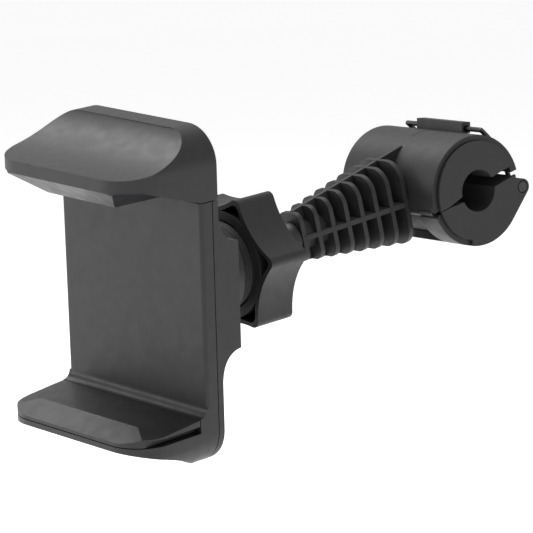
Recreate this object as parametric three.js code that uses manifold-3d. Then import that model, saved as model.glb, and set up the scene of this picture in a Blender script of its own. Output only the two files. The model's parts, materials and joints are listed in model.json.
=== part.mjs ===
// Clamp-on phone holder: a post clamp with a wire latch, a ribbed arm, a ball joint and a sprung phone clamp.
// Millimetres, +Z up. The origin is the middle of the clamp's bore, and the bore runs along X.
// The arm leaves the clamp towards -Y and slopes down; the phone holder hangs on the ball at its end.

import * as THREE from 'three';
import { mergeVertices } from 'three/addons/utils/BufferGeometryUtils.js';
import Module from 'manifold-3d';

const wasm = await Module();
wasm.setup();

// ---- driving dimensions -------------------------------------------------------------------

const GAP = 0.3; // clearance between pieces that touch or turn

const CLAMP = {
  radius: 17.4, // outside of the barrel
  wall: 2.4,
  halfLength: 23.1,
  bore: 6.6, // radius of the bore between the pads
  padEnd: 24.3, // the pads stand proud of the shells
  flange: 15.6, // radius of the pads' end flanges
  flangeFrom: 23.4,
  split: 22, // the split plane rises this many degrees towards the mouth
  mouthTop: 19, // where the upper shell ends above the mouth, degrees from +Y
  mouth: 1.65, // half the open mouth between the pads
};
const SHELL_INSIDE = CLAMP.radius - CLAMP.wall;

const HINGE = {
  reach: SHELL_INSIDE, // the pin's distance from the bore axis
  angle: 180 + CLAMP.split,
  knuckle: 2.3,
  pin: 1.0,
  middle: 14.2, // the body's knuckle spans this half length
  halfLength: 21,
  swing: 36, // the jaw is cut back this far for its swing, degrees
};

const EAR = { y: 18.1, z: 0.2, radius: 2.6, pin: 1.7, slotFrom: 17.3, slotTo: 19.7 };
const WIRE = { radius: 0.8, x: 18.5, topY: 5.6, topZ: 18.3, bow: 1.8, inEar: 13.6, inLever: 8.2 };
const LEVER = { halfLength: 11.5, front: 3.7, back: 7.0, toe: 16.4, bottom: 16.8, top: 20.4, tongue: 6 };

const ARM = {
  tilt: 14.1, // the arm slopes down by this angle
  ribs: 8,
  firstRib: 54.8, // from the bore axis to the rib next to the ball
  pitch: 5.21,
  thickness: 1.55,
  halfWidth: 5.39, // first rib
  halfHeight: 7.84,
  widen: 0.773, // each rib towards the barrel grows by this
  heighten: 0.829,
  round: 0.58, // the ribs' corner radius, as a share of their half width
  rise: 0.37, // the ribs' middle lies above the pin's axis
  web: 1.5,
};

const BALL = { radius: 8.6, distance: 78.1, neck: 4.0, seat: 8.9, pin: 2.7, pinLength: 8.5 };

const HOLDER = {
  yaw: 9.5, // attitude of the holder on the ball
  pitch: 6.7,
  roll: 4.6,
  ballBehind: 42.3, // from the plate's front face back to the ball's centre
  halfWidth: 30.1,
  top: 51.9,
  bottom: -49.3,
  corner: 11,
  jawTop: 31, // inner face of the upper jaw
  jawBottom: -33, // inner face of the lower jaw
  jawFront: -27.4,
  jawCorner: 11.5,
  plate: 1.8,
  seam: 4.4, // the front and rear casings meet here
  cove: 2.7, // radius between the plate and the lower jaw
  back: 6.8,
  bulge: 14.5,
  bulgeLow: -15.1,
  bulgeHigh: 17.3,
  wall: 1.8,
  tray: 4.0, // height of the lower jaw's inner face piece
};

const NUT = { corner: 22.3, round: 2.0, hollow: 16.3, lobes: 6, phase: 11, front: -6.0, back: 8.9 };
const SLEEVE = { outer: 17.0, inner: 14.2 };
const COLLAR = { flange: 16.3, thread: 13.8, socket: 10.9, step: -11.8, end: -2.8, screws: 11 };
const SPRING = { x: 17, y: 3.4, low: -36.0, high: -18.6, coil: 0.95, wire: 0.3, turns: 9 };
const SLIDER = { halfWidth: 13, from: 2.5, to: 4.0, low: -18, high: 37 };

// ---- materials ----------------------------------------------------------------------------

function plastic(color, roughness) {
  return new THREE.MeshStandardMaterial({ color, roughness, metalness: 0 });
}

const MOULDED = plastic(0x3b3b3e, 0.5);
const SATIN = plastic(0x4a4a4e, 0.42);
const RUBBER = plastic(0x333336, 0.75);
const INNER = plastic(0x2a2a2c, 0.6);
const STEEL = new THREE.MeshStandardMaterial({ color: 0x6f7073, roughness: 0.35, metalness: 0.9 });

// ---- helpers ------------------------------------------------------------------------------

const rad = THREE.MathUtils.degToRad;
const AXIS_X = new THREE.Vector3(1, 0, 0);
const AXIS_Y = new THREE.Vector3(0, 1, 0);
const AXIS_Z = new THREE.Vector3(0, 0, 1);

// A closed geometry becomes a solid with its faces pointing out.
function solid(geometry) {
  const bare = geometry.clone();
  bare.deleteAttribute('normal');
  bare.deleteAttribute('uv');
  const merged = mergeVertices(bare, 1e-4);
  const position = merged.attributes.position;
  const corners = [];
  let volume = 0;
  const [a, b, c] = [new THREE.Vector3(), new THREE.Vector3(), new THREE.Vector3()];
  for (let i = 0; i < merged.index.count; i += 3) {
    const [p, q, r] = [0, 1, 2].map((k) => merged.index.getX(i + k));
    if (p === q || q === r || r === p) continue;
    a.fromBufferAttribute(position, p);
    b.fromBufferAttribute(position, q);
    c.fromBufferAttribute(position, r);
    volume += a.dot(b.cross(c));
    corners.push([p, q, r]);
  }
  const triVerts = Uint32Array.from(corners.flatMap(([p, q, r]) => (volume > 0 ? [p, q, r] : [p, r, q])));
  const vertProperties = Float32Array.from(position.array);
  return new wasm.Manifold(new wasm.Mesh({ numProp: 3, vertProperties, triVerts }));
}

function union(parts) {
  return parts.reduce((whole, part) => whole.add(part));
}

function cut(whole, tools) {
  return tools.reduce((rest, tool) => rest.subtract(tool), whole);
}

function moved(geometry, matrix) {
  return geometry.clone().applyMatrix4(matrix);
}

// Prisms: the shape's own x and y become (y, z), (x, z) or (x, y).
function prismX(shape, from, to, curveSegments = 10) {
  const geometry = new THREE.ExtrudeGeometry(shape, { depth: to - from, bevelEnabled: false, curveSegments });
  const turn = new THREE.Matrix4().makeBasis(AXIS_Y, AXIS_Z, AXIS_X);
  return solid(moved(geometry, turn).translate(from, 0, 0));
}

function prismY(shape, from, to, curveSegments = 5) {
  const geometry = new THREE.ExtrudeGeometry(shape, { depth: to - from, bevelEnabled: false, curveSegments });
  const turn = new THREE.Matrix4().makeBasis(AXIS_X, AXIS_Z, AXIS_Y.clone().negate());
  return solid(moved(geometry, turn).translate(0, to, 0));
}

function prismZ(shape, from, to, curveSegments = 5) {
  const geometry = new THREE.ExtrudeGeometry(shape, { depth: to - from, bevelEnabled: false, curveSegments });
  return solid(geometry.translate(0, 0, from));
}

function block(x0, x1, y0, y1, z0, z1) {
  const geometry = new THREE.BoxGeometry(x1 - x0, y1 - y0, z1 - z0);
  return solid(geometry.translate((x0 + x1) / 2, (y0 + y1) / 2, (z0 + z1) / 2));
}

function rodX(radius, from, to, y = 0, z = 0, sides = 16) {
  const geometry = new THREE.CylinderGeometry(radius, radius, to - from, sides);
  return solid(geometry.rotateZ(Math.PI / 2).translate((from + to) / 2, y, z));
}

function rodY(radius, from, to, x = 0, z = 0, sides = 16) {
  const geometry = new THREE.CylinderGeometry(radius, radius, to - from, sides);
  return solid(geometry.translate(x, (from + to) / 2, z));
}

// A turned piece around the Y axis, from [radius, y] points.
function turned(profile, sides = 28) {
  return solid(new THREE.LatheGeometry(profile.map(([r, y]) => new THREE.Vector2(r, y)), sides));
}

// [radius, y] points along a sphere of this radius around the origin, between two angles from +Y.
function spherePoints(radius, fromDeg, toDeg, steps) {
  return Array.from({ length: steps + 1 }, (_, i) => {
    const angle = rad(fromDeg + ((toDeg - fromDeg) * i) / steps);
    return [radius * Math.sin(angle), radius * Math.cos(angle)];
  });
}

function polygon(points) {
  return new THREE.Shape(points.map(([x, y]) => new THREE.Vector2(x, y)));
}

function ringSector(inner, outer, fromDeg, toDeg) {
  const shape = new THREE.Shape();
  shape.absarc(0, 0, outer, rad(fromDeg), rad(toDeg), false);
  shape.absarc(0, 0, inner, rad(toDeg), rad(fromDeg), true);
  return shape;
}

// A big block whose face passes through the point; it lies on the side that the normal points to.
function halfSpace(point, normal) {
  const size = 200;
  const direction = new THREE.Vector3(...normal).normalize();
  const turn = new THREE.Quaternion().setFromUnitVectors(AXIS_Z, direction);
  const centre = new THREE.Vector3(...point).addScaledVector(direction, size / 2);
  const place = new THREE.Matrix4().compose(centre, turn, new THREE.Vector3(1, 1, 1));
  return solid(moved(new THREE.BoxGeometry(size, size, size), place));
}

// The half space above a plane through three points, on the side of +Z or -Z.
function planeCut(points, side) {
  const [a, b, c] = points.map((p) => new THREE.Vector3(...p));
  const normal = b.clone().sub(a).cross(c.clone().sub(a));
  if (normal.z * side < 0) normal.negate();
  return halfSpace(points[0], normal.toArray());
}

// One block in the clamp's split frame: u runs along the split towards the mouth, v up from it.
function splitBlock(u0, u1, v0, v1) {
  const turn = new THREE.Matrix4().makeRotationX(rad(CLAMP.split));
  const geometry = new THREE.BoxGeometry(60, u1 - u0, v1 - v0).translate(0, (u0 + u1) / 2, (v0 + v1) / 2);
  return solid(moved(geometry, turn));
}

function mirrorX(piece) {
  return piece.mirror([1, 0, 0]);
}

function mesh(name, piece, material, parent) {
  const raw = piece.getMesh();
  const geometry = new THREE.BufferGeometry();
  geometry.setAttribute('position', new THREE.BufferAttribute(Float32Array.from(raw.vertProperties), 3));
  geometry.setIndex(new THREE.BufferAttribute(Uint32Array.from(raw.triVerts), 1));
  geometry.computeVertexNormals();
  const node = new THREE.Mesh(geometry, material);
  node.name = name;
  parent.add(node);
  return node;
}

// ---- the clamp ----------------------------------------------------------------------------

const HINGE_Y = HINGE.reach * Math.cos(rad(HINGE.angle));
const HINGE_Z = HINGE.reach * Math.sin(rad(HINGE.angle));

function onHinge(radius, from, to) {
  return rodX(radius, from, to, HINGE_Y, HINGE_Z, 20);
}

// Everything within this radius of the hinge pin, on both outer thirds of the barrel.
function outerKnuckles(radius, from, to) {
  const right = onHinge(radius, from, to);
  return right.add(mirrorX(right));
}

// Upright rectangle with round corners, in x and z.
function roundRectangle(halfWidth, halfHeight, middle, radius) {
  const [x, z] = [halfWidth - radius, halfHeight - radius];
  const shape = new THREE.Shape();
  shape.absarc(x, middle + z, radius, 0, Math.PI / 2, false);
  shape.absarc(-x, middle + z, radius, Math.PI / 2, Math.PI, false);
  shape.absarc(-x, middle - z, radius, Math.PI, 1.5 * Math.PI, false);
  shape.absarc(x, middle - z, radius, 1.5 * Math.PI, 2 * Math.PI, false);
  return shape;
}

function armRibs() {
  return Array.from({ length: ARM.ribs }, (_, i) => {
    const wide = ARM.halfWidth + i * ARM.widen;
    const tall = ARM.halfHeight + i * ARM.heighten;
    const middle = -ARM.firstRib + i * ARM.pitch;
    const outline = roundRectangle(wide, tall, ARM.rise, ARM.round * wide);
    return prismY(outline, middle - ARM.thickness / 2, middle + ARM.thickness / 2);
  });
}

// The ribbed arm in its own frame: along -Y from the bore axis.
function armAlongY() {
  const nose = -ARM.firstRib - ARM.thickness / 2;
  const root = -8.4; // the webs end inside the barrel's wall
  const lastRib = -ARM.firstRib + 36;
  const grown = (y, start, growth) => start + ((y + ARM.firstRib) / ARM.pitch) * growth;
  const upright = polygon([
    [nose, ARM.rise - ARM.halfHeight],
    [lastRib, ARM.rise - grown(lastRib, ARM.halfHeight, ARM.heighten)],
    [lastRib, 0],
    [root, 0],
    [root, ARM.rise + grown(root, ARM.halfHeight, ARM.heighten)],
    [nose, ARM.rise + ARM.halfHeight],
  ]);
  const wide = grown(lastRib, ARM.halfWidth, ARM.widen);
  const level = polygon([
    [-ARM.halfWidth, nose],
    [ARM.halfWidth, nose],
    [wide, lastRib],
    [wide, -12],
    [-wide, -12],
    [-wide, lastRib],
  ]);
  const core = turned([[0, nose], [4.6, nose], [4.6, -44], [3.2, -42], [4.4, -12], [0, -12]], 20);
  const webs = [prismX(upright, -ARM.web / 2, ARM.web / 2), prismZ(level, -ARM.web / 2, ARM.web / 2)];
  const pinHole = rodY(BALL.pin + GAP, nose - 1, nose + BALL.pinLength + GAP, 0, 0);
  return union([...armRibs(), ...webs, core]).subtract(pinHole);
}

function clampBody() {
  const section = ringSector(SHELL_INSIDE, CLAMP.radius, CLAMP.mouthTop, HINGE.angle - 1);
  const shell = prismX(section, -CLAMP.halfLength, CLAMP.halfLength, 14);
  const tilt = [ARM.tilt, 0, 0];
  const inside = rodX(SHELL_INSIDE, -30, 30, 0, 0, 40);
  // The jaw's outside turns through this space, so the arm's root keeps clear of it.
  const swept = splitBlock(-60, 60, -60, -0.4).intersect(rodX(CLAMP.radius + GAP, -30, 30, 0, 0, 40));
  const arm = armAlongY().rotate(tilt).subtract(inside).subtract(swept);
  const knuckle = onHinge(HINGE.knuckle, -HINGE.middle, HINGE.middle);
  const grooveSection = ringSector(SHELL_INSIDE + 0.8, CLAMP.radius + 2, 8, 78);
  const groove = prismX(grooveSection, EAR.slotFrom, EAR.slotTo);
  const leverSeat = block(-LEVER.halfLength - 0.5, LEVER.halfLength + 0.5, 2.7, 8.4, 15.3, 19);
  return cut(union([shell, arm, knuckle]), [
    outerKnuckles(HINGE.knuckle + GAP, HINGE.middle, HINGE.halfLength + GAP),
    onHinge(HINGE.pin + GAP, -HINGE.halfLength, HINGE.halfLength),
    groove,
    mirrorX(groove),
    leverSeat,
  ]);
}

// The jaw's outline around the bore axis, closed along the given inner radius.
function jawOutline(inner) {
  const far = Math.acos((CLAMP.radius - EAR.radius) / Math.hypot(EAR.y, EAR.z));
  const tangent = Math.atan2(EAR.z, EAR.y) - far;
  const shape = new THREE.Shape();
  shape.absarc(0, 0, CLAMP.radius, rad(HINGE.angle + 1 - 360), tangent, false);
  shape.absarc(EAR.y, EAR.z, EAR.radius, tangent, rad(95), false);
  shape.absarc(0, 0, inner, rad(11.5), rad(HINGE.angle + 1 - 360), true);
  return shape;
}

function jawShell() {
  const shell = prismX(jawOutline(SHELL_INSIDE), -CLAMP.halfLength, CLAMP.halfLength, 10);
  const spoke = (deg) => [HINGE_Y + 9 * Math.cos(rad(deg)), HINGE_Z + 9 * Math.sin(rad(deg))];
  const swing = polygon([[HINGE_Y, HINGE_Z], spoke(HINGE.angle - 20), spoke(HINGE.angle + HINGE.swing)]);
  // Behind the arm's root the wall starts lower down, so that the jaw swings clear of the ribs.
  const window = ringSector(SHELL_INSIDE - 2, CLAMP.radius + 2, HINGE.angle - 12, HINGE.angle + 50);
  const slot = block(EAR.slotFrom, EAR.slotTo, 15.4, 25, -6, 8);
  const pintleHole = rodX(WIRE.radius + GAP, WIRE.inEar - GAP, EAR.slotTo, EAR.y, EAR.z, 16);
  const pinHole = rodX(EAR.pin + GAP, EAR.slotTo - 0.1, 30, EAR.y, EAR.z, 20);
  const knuckles = outerKnuckles(HINGE.knuckle, HINGE.middle + GAP, HINGE.halfLength);
  const open = [
    prismX(swing, -30, 30),
    prismX(window, -HINGE.middle - GAP, HINGE.middle + GAP),
    onHinge(HINGE.knuckle + GAP, -HINGE.middle - GAP, HINGE.middle + GAP),
  ];
  const holes = [slot, pintleHole, pinHole];
  return cut(cut(shell, open).add(knuckles), [
    onHinge(HINGE.pin + GAP, -30, 30),
    ...holes,
    ...holes.map(mirrorX),
  ]);
}

function padBlank() {
  const rim = rodX(CLAMP.flange, CLAMP.flangeFrom, CLAMP.padEnd, 0, 0, 40);
  const inside = rodX(SHELL_INSIDE - GAP, -CLAMP.padEnd, CLAMP.padEnd, 0, 0, 40);
  return union([inside, rim, mirrorX(rim)]);
}

// The bore, the relief notch opposite the mouth and the room for the hinge.
function padCuts() {
  const notchTip = -12.8;
  const notch = polygon([[-CLAMP.bore + 1.2, 1.1], [notchTip, 0.05], [notchTip, -0.05], [-CLAMP.bore + 1.2, -1.1]]);
  const turn = new THREE.Matrix4().makeRotationX(rad(CLAMP.split));
  const flat = new THREE.ExtrudeGeometry(notch, { depth: 60, bevelEnabled: false });
  const across = new THREE.Matrix4().makeBasis(AXIS_Y, AXIS_Z, AXIS_X);
  const relief = solid(moved(moved(flat, across).translate(-30, 0, 0), turn));
  const hinge = onHinge(HINGE.knuckle + 2 * GAP, -HINGE.halfLength - GAP, HINGE.halfLength + GAP);
  return [rodX(CLAMP.bore, -30, 30, 0, 0, 40), relief, hinge];
}

function upperPad() {
  return cut(padBlank(), [
    ...padCuts(),
    splitBlock(-40, 40, -40, GAP / 2),
    splitBlock(0, 40, -1, CLAMP.mouth),
  ]);
}

// The lower pad's flange also covers the jaw's end as far as the ear.
function lowerPad() {
  const earPin = rodX(EAR.pin + GAP, 20, 30, EAR.y, EAR.z, 20);
  const outline = prismX(jawOutline(SHELL_INSIDE - 1), CLAMP.flangeFrom, CLAMP.padEnd, 10);
  const cover = cut(outline, [earPin, block(0, 60, -40, -2, -40, 40)]);
  const half = cut(padBlank(), [
    ...padCuts(),
    splitBlock(-40, 40, -GAP / 2, 40),
    splitBlock(0, 40, -CLAMP.mouth, 1),
  ]);
  return union([half, cover, mirrorX(cover)]);
}

// One side of the bail: pintle in the ear, the bowed side along the barrel, then the cross bar.
function bailWire() {
  const foot = new THREE.Vector3(WIRE.x, EAR.y, EAR.z);
  const head = new THREE.Vector3(WIRE.x, WIRE.topY, WIRE.topZ);
  const chord = head.clone().sub(foot);
  const outward = new THREE.Vector3(0, chord.z, -chord.y).normalize();
  const middle = foot.clone().add(head).multiplyScalar(0.5).addScaledVector(outward, 2 * WIRE.bow);
  const path = new THREE.QuadraticBezierCurve3(foot, middle, head);
  const section = new THREE.Shape().absarc(0, 0, WIRE.radius, 0, 2 * Math.PI, false);
  const bow = new THREE.ExtrudeGeometry(section, { steps: 8, extrudePath: path, curveSegments: 4 });
  const knee = (at) => solid(new THREE.SphereGeometry(WIRE.radius, 8, 6).translate(at.x, at.y, at.z));
  return union([
    solid(bow),
    knee(foot),
    knee(head),
    rodX(WIRE.radius, WIRE.inEar, WIRE.x, EAR.y, EAR.z, 8),
    rodX(WIRE.radius, WIRE.inLever, WIRE.x, WIRE.topY, WIRE.topZ, 8),
  ]);
}

// Both sides are one wire: the cross bar runs right through the lever.
function bail() {
  const side = bailWire();
  const through = rodX(WIRE.radius, -WIRE.inLever - 1, WIRE.inLever + 1, WIRE.topY, WIRE.topZ, 8);
  return union([side, mirrorX(side), through]);
}

function latchLever() {
  const bar = block(-LEVER.halfLength, LEVER.halfLength, LEVER.front, LEVER.back, LEVER.bottom, LEVER.top);
  const toe = block(-LEVER.halfLength, LEVER.halfLength, LEVER.front, LEVER.front + 1.4, LEVER.toe, LEVER.bottom + 0.4);
  const tongue = prismX(ringSector(17.7, 19.1, 24, 76), -LEVER.tongue, LEVER.tongue, 14);
  const hole = rodX(WIRE.radius + GAP, -20, 20, WIRE.topY, WIRE.topZ, 16);
  return union([bar, toe, tongue]).subtract(hole);
}

// ---- the ball joint -----------------------------------------------------------------------

// Around the ball's centre, pin towards +Y.
function ballStud() {
  const shoulder = BALL.distance - ARM.firstRib - ARM.thickness / 2 - GAP;
  const neckAngle = THREE.MathUtils.radToDeg(Math.asin(BALL.neck / BALL.radius));
  return turned([
    ...spherePoints(BALL.radius, 180, neckAngle, 12).map(([r, y], i) => [i === 0 ? 0 : r, y]),
    [BALL.neck, 15],
    [5.2, shoulder - 1.5],
    [5.2, shoulder],
    [BALL.pin, shoulder],
    [BALL.pin, shoulder + BALL.pinLength],
    [0, shoulder + BALL.pinLength],
  ], 24);
}

// A dished seat washer between the ball and the collar's socket.
function ballCup() {
  const outside = spherePoints(BALL.seat + 1.7, 180, 118, 5);
  const inside = spherePoints(BALL.seat, 118, 180, 5);
  outside[0][0] = 0;
  inside[inside.length - 1][0] = 0;
  return turned([...outside, ...inside], 24);
}

function ballRing() {
  const rim = (y) => THREE.MathUtils.radToDeg(Math.acos(y / BALL.seat));
  const seat = spherePoints(BALL.seat, rim(4.9), rim(0.6), 3);
  return turned([[13, 0.6], [13, 4.9], ...seat, [13, 0.6]], 28);
}

function socketCollar() {
  const foot = HOLDER.bulge + GAP - HOLDER.ballBehind;
  const threads = [];
  for (let y = COLLAR.step; y < COLLAR.end - 2; y += 2.2) {
    threads.push([COLLAR.thread - 0.6, y + 0.3], [COLLAR.thread, y + 0.9], [COLLAR.thread, y + 1.1]);
  }
  const rim = THREE.MathUtils.radToDeg(Math.acos(COLLAR.end / COLLAR.socket));
  const socket = spherePoints(COLLAR.socket, rim, 180, 6);
  socket[socket.length - 1][0] = 0;
  const body = turned([
    [COLLAR.flange, foot],
    [COLLAR.flange, COLLAR.step],
    [COLLAR.thread - 0.6, COLLAR.step],
    ...threads,
    [COLLAR.thread - 0.4, COLLAR.end],
    ...socket,
    [0, foot + 12],
    [8.5, foot + 12],
    [8.5, foot],
    [COLLAR.flange, foot],
  ], 28);
  const holes = collarScrewPlaces().map(([x, z]) => rodY(0.9 + GAP, foot - 1, foot + 7, x, z, 12));
  return cut(body, holes);
}

function collarScrewPlaces() {
  const reach = COLLAR.screws / Math.SQRT2;
  return [[reach, reach], [-reach, reach], [-reach, -reach], [reach, -reach]];
}

function nutOutline(scale) {
  const shape = new THREE.Shape();
  const step = (2 * Math.PI) / NUT.lobes;
  const centre = (NUT.corner - NUT.round) * scale;
  for (let i = 0; i < NUT.lobes; i += 1) {
    const at = rad(NUT.phase) + i * step;
    const x = centre * Math.cos(at);
    const z = centre * Math.sin(at);
    shape.absarc(x, z, NUT.round * scale, at - Math.PI / 4, at + Math.PI / 4, false);
    const next = at + step;
    const end = [
      centre * Math.cos(next) + NUT.round * scale * Math.cos(next - Math.PI / 4),
      centre * Math.sin(next) + NUT.round * scale * Math.sin(next - Math.PI / 4),
    ];
    const hollow = NUT.hollow * scale;
    shape.quadraticCurveTo(hollow * Math.cos(at + step / 2), hollow * Math.sin(at + step / 2), ...end);
  }
  return shape;
}

function ballNut() {
  const blank = prismY(nutOutline(1), NUT.front, NUT.back, 4);
  const pocketEnd = NUT.back - 3.4;
  const sleeve = rodY(SLEEVE.outer, NUT.front - 1, NUT.back, 0, 0, 40);
  const pockets = prismY(nutOutline(0.915), NUT.front - 1, pocketEnd, 3).subtract(sleeve);
  const bore = rodY(SLEEVE.inner, NUT.front - 1, pocketEnd, 0, 0, 40);
  const mouth = turned([[0, pocketEnd - 1], [7.9, pocketEnd - 1], [7.9, pocketEnd + 1.2], [9.4, NUT.back + 0.1],
    [0, NUT.back + 0.1]], 28);
  return cut(blank, [pockets, bore, mouth]);
}

// ---- the phone holder ---------------------------------------------------------------------

// Front view of the whole holder: a tall rectangle with round corners, between two heights.
function frontOutline(low, high, inset = 0) {
  const w = HOLDER.halfWidth - inset;
  const r = HOLDER.corner - inset;
  const top = HOLDER.top - inset;
  const bottom = HOLDER.bottom + inset;
  const shape = new THREE.Shape();
  shape.absarc(w - r, top - r, r, 0, Math.PI / 2, false);
  shape.absarc(r - w, top - r, r, Math.PI / 2, Math.PI, false);
  shape.absarc(r - w, bottom + r, r, Math.PI, 1.5 * Math.PI, false);
  shape.absarc(w - r, bottom + r, r, 1.5 * Math.PI, 2 * Math.PI, false);
  const whole = prismY(shape, -40, 40, 4);
  return whole.intersect(block(-60, 60, -60, 60, low, high));
}

// Plan of a piece of the holder, with round front corners.
function plan(back, low, high, front = HOLDER.jawFront, radius = HOLDER.jawCorner) {
  const w = HOLDER.halfWidth;
  const shape = new THREE.Shape();
  shape.moveTo(w, back);
  shape.lineTo(-w, back);
  shape.absarc(radius - w, front + radius, radius, Math.PI, 1.5 * Math.PI, false);
  shape.absarc(w - radius, front + radius, radius, 1.5 * Math.PI, 2 * Math.PI, false);
  return prismZ(shape, low, high, 4);
}

// The dished outer face of a jaw, as a cutter. Its curve runs from the crown to the lip's edge, as [y, z].
function dish(crown, control, lip, side) {
  const clear = crown[1] + 20 * side;
  const shape = new THREE.Shape();
  shape.moveTo(...crown);
  shape.quadraticCurveTo(...control, HOLDER.jawFront, lip);
  shape.lineTo(HOLDER.jawFront - 10, lip);
  shape.lineTo(HOLDER.jawFront - 10, clear);
  shape.lineTo(crown[0], clear);
  return prismX(shape, -60, 60, 8);
}

// The lower jaw's inner face piece: bevelled along the lip and the sides, and slotted below its side edges.
function lowerJawPad() {
  const w = HOLDER.halfWidth;
  const face = HOLDER.jawBottom;
  const flatFront = -19.3;
  const lip = planeCut([[0, flatFront, face], [10, flatFront, face], [0, HOLDER.jawFront, face - 3.0]], 1);
  const right = planeCut([[w, -1, face], [w - 9, flatFront, face], [w, flatFront, face - 1.7]], 1);
  const slot = block(w - 2.4, w + 5, -60, 1, face - HOLDER.tray - 1, face - 2.1);
  const body = plan(-HOLDER.cove - GAP, face - HOLDER.tray, face);
  return cut(body, [lip, right, mirrorX(right), slot, mirrorX(slot)]);
}

function casingScrewPlaces() {
  return [[26.3, 27.2], [-26.3, 27.2], [-26.3, -30], [26.3, -30]];
}

// The plate, its side walls and the body of the lower jaw.
function frontCasing() {
  const w = HOLDER.halfWidth;
  const ledge = HOLDER.jawBottom - HOLDER.tray - GAP;
  const low = HOLDER.bottom - 1;
  const soft = plan(HOLDER.seam, low, HOLDER.jawTop - GAP, 0, 1.2);
  const shell = frontOutline(low, HOLDER.jawTop - GAP).intersect(soft);
  const jaw = frontOutline(low, ledge).intersect(plan(HOLDER.seam, low, ledge));
  const foot = new THREE.Shape();
  foot.moveTo(HOLDER.cove / 2, ledge - 0.1);
  foot.lineTo(-HOLDER.cove, ledge - 0.1);
  foot.absarc(-HOLDER.cove, HOLDER.jawBottom + HOLDER.cove, HOLDER.cove, -Math.PI / 2, 0, false);
  foot.lineTo(HOLDER.cove / 2, HOLDER.jawBottom + HOLDER.cove);
  const room = frontOutline(low, 60, HOLDER.wall).intersect(block(-w, w, HOLDER.plate, 10, -60, 60));
  const pocket = block(-w + 5, w - 5, -15, -1.8, ledge - 2.8, ledge + 1);
  const bosses = casingScrewPlaces().map(([x, z]) => rodY(2.4, HOLDER.plate - 0.1, HOLDER.seam, x, z, 16));
  const holes = casingScrewPlaces().map(([x, z]) => rodY(0.9 + GAP, HOLDER.plate + 0.5, 20, x, z, 12));
  const lug = block(SPRING.x - 2, SPRING.x + 2, HOLDER.plate - 0.1, HOLDER.seam, HOLDER.bottom + 1, SPRING.low - 2 * GAP);
  const hollow = dish([0.5, HOLDER.bottom], [-9, -43], -38.9, -1);
  const body = cut(union([shell, jaw, prismX(foot, -w, w, 6)]), [room, hollow, pocket]);
  return cut(union([body, ...bosses, lug, mirrorX(lug)]), holes);
}

function rearProfile(inset) {
  const back = HOLDER.back - inset;
  const bulge = HOLDER.bulge - inset;
  const low = HOLDER.bulgeLow + inset;
  const high = HOLDER.bulgeHigh - inset;
  const ramp = 8;
  const front = HOLDER.seam + GAP - inset;
  const shape = new THREE.Shape();
  shape.moveTo(front, -60 + inset);
  shape.lineTo(back, -60 + inset);
  shape.lineTo(back, low - ramp);
  shape.quadraticCurveTo(back, low, bulge, low);
  shape.lineTo(bulge, high);
  shape.quadraticCurveTo(back, high, back, high + ramp);
  shape.lineTo(back, 60 - inset);
  shape.lineTo(front, 60 - inset);
  return shape;
}

function rearCasing() {
  const w = HOLDER.halfWidth;
  const outer = prismX(rearProfile(0), -w, w, 7).intersect(frontOutline(-60, HOLDER.jawTop - GAP));
  const inner = prismX(rearProfile(HOLDER.wall), -w, w, 5).intersect(frontOutline(-60, 60, HOLDER.wall));
  const heads = casingScrewPlaces().map(([x, z]) => rodY(2.0 + GAP, HOLDER.back - 1.0, 20, x, z, 16));
  const shanks = casingScrewPlaces().map(([x, z]) => rodY(0.9 + GAP, 0, 20, x, z, 12));
  const collar = collarScrewPlaces().map(([x, z]) => rodY(0.9 + GAP, 5, 20, x, z, 12));
  return cut(outer, [inner, ...heads, ...shanks, ...collar]);
}

// Under the upper jaw a flat ridge stays in the middle, and both sides rise towards the lip.
function upperJawUnderside() {
  const face = HOLDER.jawTop;
  const lip = planeCut([[0, -18.6, face], [10, -18.6, face], [0, HOLDER.jawFront, face + 6.6]], -1);
  const ridge = planeCut([[14.3, -18.6, face], [15.3, -2, face], [22, -17, face + 5.4]], -1);
  const wing = planeCut([[0, 0, face], [10, 0, face], [0, -17, face + 5.4]], -1);
  const side = ridge.intersect(wing).intersect(block(0, 60, -60, 0, -100, face + 6.8));
  return [lip, side, mirrorX(side)];
}

function upperJawPadOutline(inset) {
  const [w, back, front] = [13.2 - inset, -3 - inset, -17.6 + inset];
  return polygon([[w + 0.8, back], [-w - 0.8, back], [-w, front], [w, front]]);
}

function upperJaw() {
  const face = HOLDER.jawTop;
  const blank = frontOutline(face, 60).intersect(plan(HOLDER.back, face, 60));
  const sliderSlot = block(-SLIDER.halfWidth - GAP, SLIDER.halfWidth + GAP, SLIDER.from - GAP, SLIDER.to + GAP,
    face - 1, SLIDER.high + GAP);
  const padSeat = prismZ(upperJawPadOutline(-GAP), face - 5, face + 1.3);
  const holes = upperScrewPlaces().map(([x, z]) => rodY(0.9 + GAP, 0.5, 10, x, z, 12));
  const heads = upperScrewPlaces().map(([x, z]) => rodY(2.0 + GAP, HOLDER.back - 1.1, 10, x, z, 16));
  const hollow = dish([-0.8, HOLDER.top - 0.4], [-8, 42.7], 41.4, 1);
  return cut(blank, [hollow, ...upperJawUnderside(), sliderSlot, padSeat, ...holes, ...heads]);
}

function upperJawPad() {
  return prismZ(upperJawPadOutline(0), HOLDER.jawTop, HOLDER.jawTop + 1.0);
}

function upperScrewPlaces() {
  return [[8, 34.5], [-8, 34.5]];
}

function slider() {
  const tongue = block(-SLIDER.halfWidth, SLIDER.halfWidth, SLIDER.from, SLIDER.to, SLIDER.low, SLIDER.high);
  const ears = block(-SPRING.x - 2, SPRING.x + 2, SLIDER.from, SLIDER.to, SLIDER.low, SLIDER.low + 3);
  const window = block(-7, 7, 0, 10, SLIDER.low + 6, 24);
  const holes = upperScrewPlaces().map(([x, z]) => rodY(0.9 + GAP, 0, 10, x, z, 12));
  return cut(union([tongue, ears]), [window, ...holes]);
}

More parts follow.
